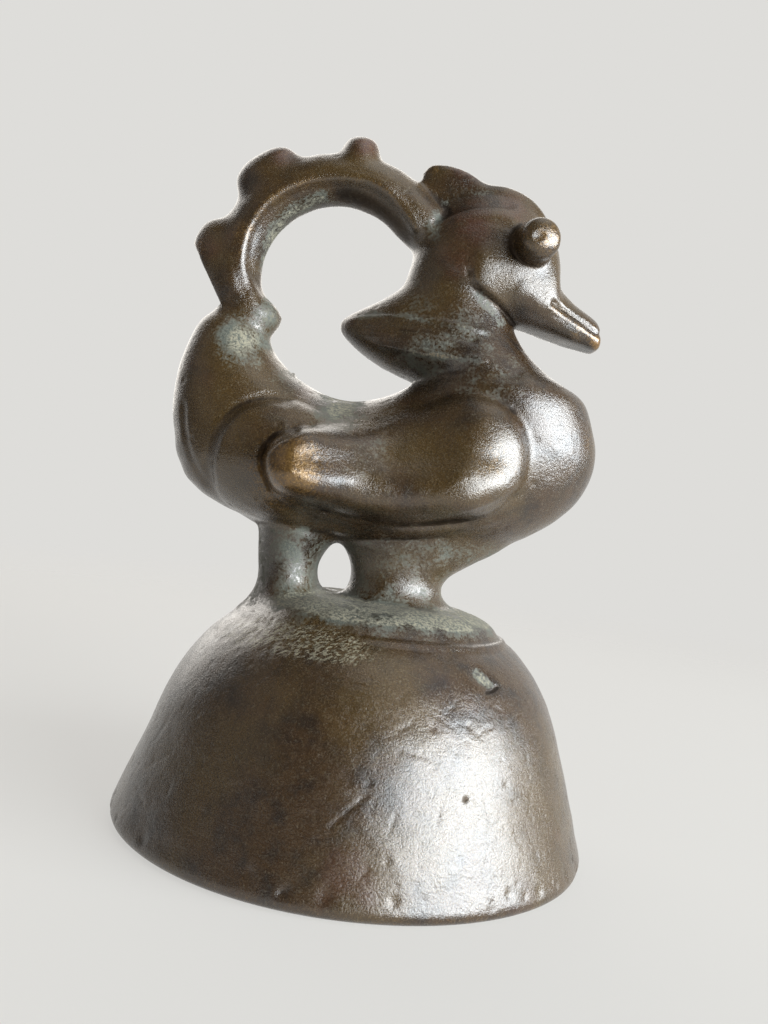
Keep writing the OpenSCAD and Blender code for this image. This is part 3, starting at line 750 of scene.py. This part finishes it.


# What the skin tells the material: hollows and the painted shade under the ring's top, worn edges, crusts, file
# marks and ruddy places

wearSpots = [  # place in the picture's grid, radius, strength
    ((12.4, 61.1), 2.7, 0.66),
    ((-10.6, 34.6), 6.0, 0.92),
    ((18.8, 51.4), 1.2, 0.9),
    ((10.0, 38.2), 3.6, 0.45),
    ((-7.0, 68.2), 1.8, 0.35),
    ((-15.0, 66.2), 1.6, 0.3),
    ((0.3, 66.8), 1.5, 0.5),
    ((-22.3, 55.5), 1.5, 0.6),
    ((19.5, 41.5), 2.0, 0.4),
    ((-18.0, 57.5), 2.4, 0.4),
]
ruddySpots = [
    ((4.6, 61.6), 3.6, 0.75),
    ((8.6, 63.4), 3.0, 0.5),
    ((3.0, 66.6), 2.6, 0.6),
    ((-7.0, 68.2), 2.4, 0.9),
    ((-15.0, 66.2), 2.2, 0.7),
    ((-22.0, 55.5), 2.2, 0.5),
    ((19.0, 51.0), 1.6, 0.7),
    ((3.4, 57.6), 3.0, 0.5),
]
# green crust and dust spots, and one painted sheen on the wing's middle: place in the picture's grid, radius,
# strength
greenSpotsAndSheen = [
    ((-16.6, 46.8), 5.0, 1.0),
    ((-14.6, 49.6), 3.0, 0.9),
    ((-6.0, 41.6), 4.8, 1.0),
    ((-11.5, 43.6), 3.4, 0.7),
    ((6.5, 46.6), 4.4, 0.5),
    ((0.4, 60.4), 2.2, 0.7),
    ((3.6, 65.4), 2.6, 0.5),
    # painted sheen: pale crust colour on the wing's middle, standing in for a greyish reflection there
    ((-2.6, 36.8), 4.6, 0.56),
    ((-14.5, 56.0), 2.4, 0.6),
    ((-10.0, 61.2), 2.2, 0.55),
    ((2.0, 47.4), 6.0, 0.66),
    ((5.4, 50.4), 6.0, 0.67),
    ((10.0, 46.4), 5.0, 0.55),
    ((1.0, 54.0), 4.5, 0.45),
    ((9.5, 33.2), 3.0, 0.35),
    ((1.0, 28.4), 6.0, 0.4),
]
# dry dust along the collar, below it, in the throat and beside the crest: points, width, strength
dustLines = [
    ([(-6.6, 50.4), (-3.0, 51.2), (1.0, 51.2), (5.0, 50.9), (9.0, 50.6)], 1.0, 0.84),
    ([(-1.5, 47.8), (3.0, 47.7), (8.0, 48.0)], 1.3, 0.90),
    ([(5.4, 54.8), (7.4, 53.2), (9.2, 51.4)], 1.2, 0.90),
    ([(0.4, 62.6), (1.4, 60.6), (1.0, 58.8)], 1.0, 0.7),
    ([(1.2, 62.6), (2.6, 63.8), (4.6, 64.5), (6.8, 64.7)], 1.0, 0.72),
]
# the ring's inner side, where the crust was never rubbed off, and the part under its top that is painted dark as
# shade: points, width, taper
ringCrust = ([(-14.4, 52.2), (-15.4, 55.6), (-14.6, 58.6), (-12.2, 61.2), (-9.6, 62.2)], 1.9, 0.1)
ringPaintedShade = ([(-10.6, 62.2), (-7.6, 62.6), (-4.6, 61.4), (-2.4, 59.4), (-1.2, 57.0)], 1.9, 0.2)

crustShares = {
    "rear_leg": 0.80,
    "front_leg": 0.60,
    "plinth": 1.12,
    "plinthEdge": (13.4, 11.0),  # radii between which the plinth's crust begins
    "filed": 0.35,
    "pits": 0.42,  # how dark a pit is
    # how dark the painted shade under the ring's top is
    "paintedShade": 0.8,
    "ridge": 0.5,  # how far the ring's ridge is worn
    "ridgeWorn": (-8.0, -14.0),  # from where to where along the bird
}


def spotField(grid, spots):
    total = np.zeros(len(grid))
    for place, radius, strength in spots:
        distance = np.linalg.norm(grid - np.array(place), axis=1)
        total = np.maximum(total, strength * smooth(1.0, 0.15, distance / radius))
    return total


def bends():
    # how far a point lies under its surroundings, near ones and wide ones
    normals = skin.normals()
    for passes in (8, 70):
        lift = ((skin.blurred(skin.points, passes) - skin.points) * normals).sum(1)
        yield skin.blurred(lift, 2)


def standCrust():
    radius = np.hypot(skin.points[:, 0], skin.points[:, 1])
    plinth = isNode("plinth") * smooth(*crustShares["plinthEdge"], radius)
    stand = sum(crustShares[n] * isNode(n) for n in legs) + crustShares["plinth"] * plinth
    return skin.blurred(stand, 24)


def surfaceFacts():
    share = crustShares
    grid, nearGrid = pictureGrid(skin.points), pictureGrid(skin.points, mirrored=False)
    near, wide = bends()
    hollow = np.clip(smooth(0.008, 0.06, near) * 0.6 + smooth(0.03, 0.40, wide), 0, 1)
    edge = np.clip(smooth(-0.02, -0.08, near) * 0.35 + smooth(-0.14, -0.50, wide) * 0.55, 0, 1)

    front = isNode("base_dome", "plinth") * (skin.points[:, 1] < 0)
    filed = skin.blurred(front * fileField(nearGrid), 3)
    points, width, _ = domeMarks["patch"]
    patch = front * smooth(0.1, 0.9, strokeField(nearGrid, points, width, 0.0))
    for points, width, _ in (domeMarks["hole"], domeMarks["pit"]):
        hollow = np.maximum(hollow, front * strokeField(nearGrid, points, width * 1.2, 0.0))
    # painted shade: the underside of the ring's top is darkened as if it lay in shadow
    paintedShade = isNode("handle_arch", "handle_root") * strokeField(grid, *ringPaintedShade)
    hollow = np.maximum.reduce([hollow, share["pits"] * pits, share["paintedShade"] * paintedShade])

    ring = isNode("handle_arch", "handle_foot")
    dust = [strength * strokeField(grid, points, width) for points, width, strength in dustLines]
    green = np.maximum.reduce([spotField(grid, greenSpotsAndSheen), standCrust(), ring * strokeField(grid, *ringCrust),
                               patch, filed * share["filed"], *dust])
    ridge = ring * strokeField(grid, ringForms["ridge"], ringForms["ridgeWidth"], 0.3)
    ridge *= share["ridge"] * smooth(*share["ridgeWorn"], grid[:, 0])
    return {
        # hollows, pits and the painted shade under the ring's top, all darkened by the material
        "hollow": hollow,
        "wear": np.maximum.reduce([edge, spotField(grid, wearSpots), ridge]),
        "green": skin.blurred(green, 2),
        "filed": filed,
        "ruddy": spotField(grid, ruddySpots),
    }


facts = surfaceFacts()
print("surface read")


# The skin is shared out among the nodes again, each piece closed inside the metal

sharing = {
    "evenRounds": 3,  # rounds in which the seams between the pieces are straightened
    "strayRounds": 2,
    "capDepth": 0.3,  # millimetres that the inner caps lie below the seams
}


def votesAround(labels):
    votes = np.zeros((len(skin.points), len(nodeNames)), dtype=np.float32)
    for k in range(4):
        np.add.at(votes, (skin.quads[:, k], labels), 1)
    return votes


# Each node keeps its largest patch, and a stray island of faces joins the node around it

def largestPatch(labels):
    rows = np.arange(len(labels))
    for _ in range(sharing["evenRounds"]):
        votes = votesAround(labels)
        around = sum(votes[skin.quads[:, k]] for k in range(4))
        around[rows, labels] += 1
        labels = around.argmax(1)
    for _ in range(sharing["strayRounds"]):
        for index in range(len(nodeNames)):
            own = np.flatnonzero(labels == index)
            if not len(own):
                continue
            group = np.arange(len(skin.points))
            while True:
                low = np.minimum.reduce([group[skin.quads[own, k]] for k in range(4)])
                before = group.copy()
                for k in range(4):
                    np.minimum.at(group, skin.quads[own, k], low)
                if (before == group).all():
                    break
            ids, sizes = np.unique(group[skin.quads[own, 0]], return_counts=True)
            main = ids[sizes.argmax()]
            stray = own[group[skin.quads[own, 0]] != main]
            if len(stray):
                votes = votesAround(labels)
                around = sum(votes[skin.quads[stray, k]] for k in range(4))
                around[:, index] = 0
                labels[stray] = around.argmax(1)
    return labels


def boundaryLoops(quads):
    ways = np.concatenate([quads[:, [k, (k + 1) % 4]] for k in range(4)])
    big = int(ways.max()) + 1
    keys = ways[:, 0].astype(np.int64) * big + ways[:, 1]
    back = ways[:, 1].astype(np.int64) * big + ways[:, 0]
    following = {}
    for start, end in ways[~np.isin(keys, back)].tolist():
        following.setdefault(start, []).append(end)
    loops = []
    while following:
        first = next(iter(following))
        loop, here = [], first
        while True:
            ends = following[here]
            onward = ends.pop()
            if not ends:
                del following[here]
            loop.append(here)
            here = onward
            if here == first:
                break
        loops.append(loop)
    return loops


def makePiece(name, quads, normals):
    used, local = np.unique(quads, return_inverse=True)
    local = local.reshape(-1, 4)
    points = skin.points[used]
    outward = normals[used]
    caps, centres = [], []
    for loop in boundaryLoops(local):
        rim = np.array(loop)
        centre = len(points) + len(centres)
        centres.append(points[rim].mean(0) - outward[rim].mean(0) * sharing["capDepth"])
        caps += [(b, a, centre) for a, b in zip(loop, loop[1:] + loop[:1])]
    allPoints = np.concatenate([points, np.array(centres).reshape(-1, 3)]) / perMetre
    mesh = plainMesh(name, allPoints, local.tolist() + caps)
    mesh.polygons.foreach_set("use_smooth", [True] * len(mesh.polygons))
    corner = np.empty((len(mesh.loops), 3), dtype=np.float32)
    outer = local.size
    corner[:outer] = outward[local.reshape(-1)]
    flat = np.empty(len(mesh.polygons) * 3, dtype=np.float32)
    mesh.polygons.foreach_get("normal", flat)
    corner[outer:] = np.repeat(flat.reshape(-1, 3)[len(local):], 3, axis=0)
    mesh.normals_split_custom_set(corner.tolist())
    for fact, values in facts.items():
        attribute = mesh.attributes.new(fact, "FLOAT", "POINT")
        own = np.concatenate([values[used], np.zeros(len(centres))])
        attribute.data.foreach_set("value", own.astype(np.float32))
    mesh.materials.append(bronze)
    piece = bpy.data.objects.new(name + "_cast", mesh)
    bpy.context.scene.collection.objects.link(piece)
    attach(piece, "root")
    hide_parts(name)
    return piece


def shareOut():
    centres = skin.points[skin.quads].mean(1)
    labels = largestPatch(nearestNode(cadTree, faceOwners, centres))
    normals = skin.normals()
    for index, name in enumerate(nodeNames):
        own = skin.quads[labels == index]
        if len(own) == 0:
            print("no faces for", name)
            continue
        piece = makePiece(name, own, normals)
        print("piece", name, len(piece.data.polygons), "faces")


shareOut()


# Studio

studio = {
    "floor": colour(160, 157, 152),
    "seen": colour(222, 221, 218),  # the backdrop as the camera and the metal see it
    "behind": (0.15, 0.60),  # where the backdrop begins for the metal, along +y
    "floorGlow": (0.45, 1.65),  # share and strength of the backdrop's own brightness on the floor
    "fade": (0.13, 0.34),  # metres from the weight over which the floor runs out into the backdrop
    "reach": 1.2,  # half the floor's side
    "aim": (0.0, 0.0, 0.034),  # where the lamps point
    "sky": (0.080, 0.070, 0.062, 1.0),
    "lamps": {  # place, width, height, watts, colour
        "key": ((0.385, -0.235, 0.125), 0.54, 0.23, 6.6, (0.88, 0.95, 1.0)),
        "fill": ((-0.42, -0.20, 0.26), 0.30, 0.30, 0.10, (1.0, 0.88, 0.78)),
        "back": ((-0.16, 0.46, 0.27), 0.70, 0.46, 1.8, (1.0, 0.95, 0.88)),
        "top": ((0.12, -0.06, 0.45), 0.35, 0.35, 0.35, (0.90, 0.96, 1.0)),
    },
}


def sightRays(g):
    path = g.add("ShaderNodeLightPath", {}, {}, None)
    camera, glossy, through = (Wire(g, path.outputs[f"Is {n} Ray"]) for n in ("Camera", "Glossy", "Transmission"))
    return camera, (glossy + through).clamped()


def makeFloor():
    material, g = newMaterial("paleFloor")
    place = g.add("ShaderNodeTexCoord", {}, {}, "Object")
    tint = g.mix(g.noise(place, 3.0, 2.0, 0.55), studio["floor"], tuple(c * 0.97 for c in studio["floor"]))
    solid = g.add("ShaderNodeBsdfPrincipled", {}, {"Base Color": tint, "Roughness": 0.9})
    clear = g.add("ShaderNodeBsdfTransparent", {}, {})
    away = g.add("ShaderNodeVectorMath", {"operation": "LENGTH"}, {0: place}, "Value")
    share, strength = studio["floorGlow"]
    glow = g.add("ShaderNodeEmission", {}, {"Color": studio["seen"], "Strength": strength})
    direct, mirrored = sightRays(g)
    lit = g.add("ShaderNodeMixShader", {}, {0: (direct + mirrored).clamped() * share, 1: solid, 2: glow})
    shader = g.add("ShaderNodeMixShader", {}, {0: away.ramp(*studio["fade"]), 1: lit, 2: clear})
    g.add("ShaderNodeOutputMaterial", {}, {"Surface": shader}, None)
    r = studio["reach"]
    mesh = plainMesh("floor", [(-r, -r, 0), (r, -r, 0), (r, r, 0), (-r, r, 0)], [(0, 1, 2, 3)])
    mesh.materials.append(material)
    floor = bpy.data.objects.new("floor", mesh)
    bpy.context.scene.collection.objects.link(floor)


def makeLamps():
    aim = np.array(studio["aim"])
    for name, (where, width, height, watts, tint) in studio["lamps"].items():
        lamp = bpy.data.lights.new(name, "AREA")
        lamp.shape = "RECTANGLE"
        lamp.size, lamp.size_y = width, height
        lamp.energy = watts
        lamp.color = tint
        holder = bpy.data.objects.new(name, lamp)
        back = np.array(where) - aim
        back /= np.linalg.norm(back)
        side = np.cross((0, 0, 1), back)
        side /= np.linalg.norm(side)
        up = np.cross(back, side)
        holder.matrix_world = Matrix([[side[i], up[i], back[i], where[i]] for i in range(3)] + [[0, 0, 0, 1]])
        bpy.context.scene.collection.objects.link(holder)


def makeSky():
    world = bpy.data.worlds.new("studioSky")
    world.use_nodes = True
    world.node_tree.nodes.clear()
    g = Graph(world.node_tree)
    direct, mirrored = sightRays(g)
    way = g.add("ShaderNodeTexCoord", {}, {}, "Generated")
    behind = g.add("ShaderNodeSeparateXYZ", {}, {0: way}, "Y").ramp(*studio["behind"])
    shown = (direct + mirrored * behind).clamped()
    sky = g.add("ShaderNodeBackground", {}, {"Color": g.mix(shown, studio["sky"], studio["seen"]), "Strength": 1.0})
    g.add("ShaderNodeOutputWorld", {}, {"Surface": sky}, None)
    bpy.context.scene.world = world


def placeCamera():
    lens = bpy.data.cameras.new("photographer")
    lens.lens = viewpoint["lens"]
    lens.clip_start = 0.002
    camera = bpy.data.objects.new("photographer", lens)
    roll = math.radians(viewpoint["roll"])
    c, s = math.cos(roll), math.sin(roll)
    x, y, z = (v / perMetre for v in viewpoint["place"])
    camera.matrix_world = Matrix([[c, -s, 0, x], [0, 0, -1, y], [s, c, 0, z], [0, 0, 0, 1]])
    bpy.context.scene.collection.objects.link(camera)
    bpy.context.scene.camera = camera


makeFloor()
makeLamps()
makeSky()
placeCamera()
bpy.context.scene.view_settings.view_transform = "Standard"
print("studio set")
